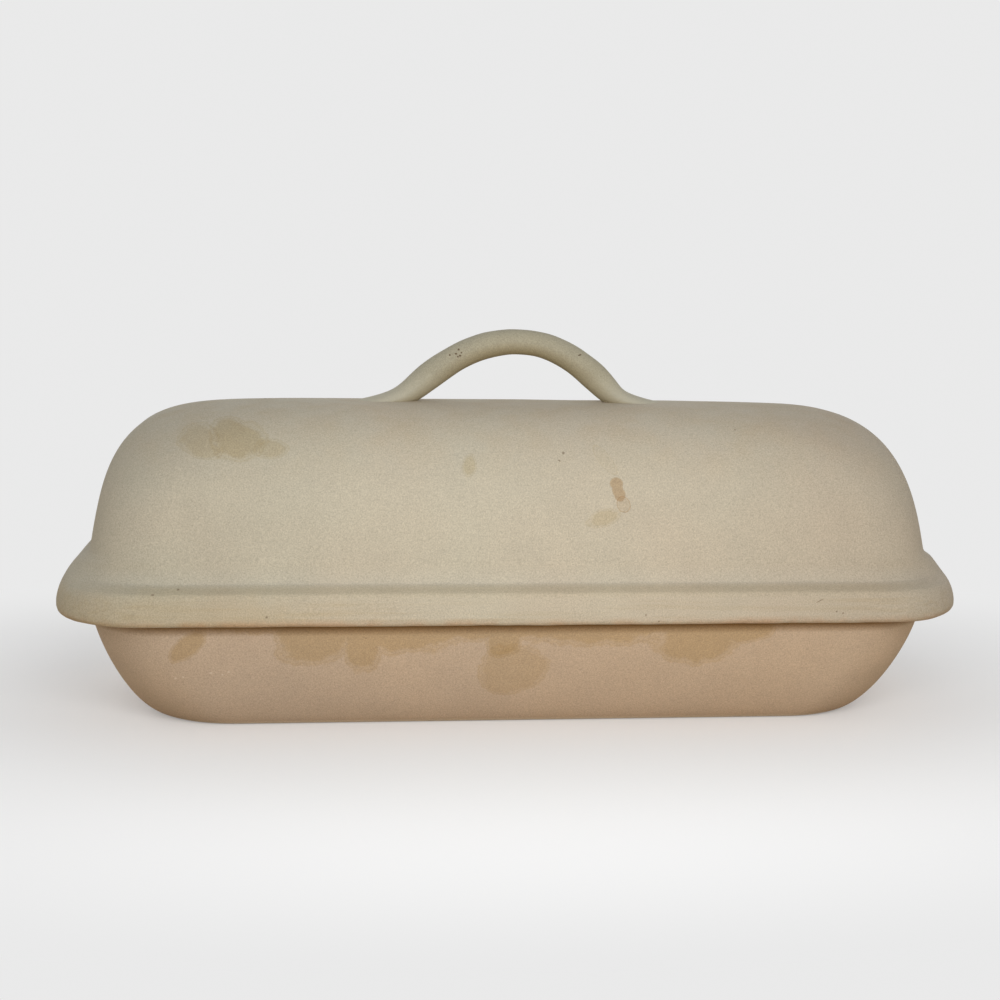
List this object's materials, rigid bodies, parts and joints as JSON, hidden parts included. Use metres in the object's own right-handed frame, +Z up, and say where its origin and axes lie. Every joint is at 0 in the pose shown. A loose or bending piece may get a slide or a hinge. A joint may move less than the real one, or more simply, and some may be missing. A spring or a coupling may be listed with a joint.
{
  "type": "covered clay bread baker",
  "caption": "Oblong covered baker of unglazed clay: a shallow tray with sloping sides and a domed loaf-shaped lid with a loop handle, for baking bread in its own steam.",
  "frame": {"origin": "middle of the tray's flat foot", "axes": "+X along the baker's length, +Y across it, +Z up out of the tray"},
  "size_m": [0.376, 0.143, 0.1611],
  "materials": {
    "tray_clay": "unglazed pinkish-tan stoneware, dry and matte, with oil-stained drips below its edge",
    "lid_clay": "unglazed greenish-cream stoneware, dry and matte, with baking stains",
    "handle_clay": "the lid's unglazed stoneware, smoothed by hand"
  },
  "bodies": {
    "base": {"base_tray": "tray_clay"},
    "lid": {"lid_dome": "lid_clay", "lid_handle": "handle_clay"}
  },
  "joints": [
    {"name": "lid_lift", "type": "slide", "parent": "base", "child": "lid", "axis": [0, 0, 1], "range_m": [0, 0.16]}
  ]
}
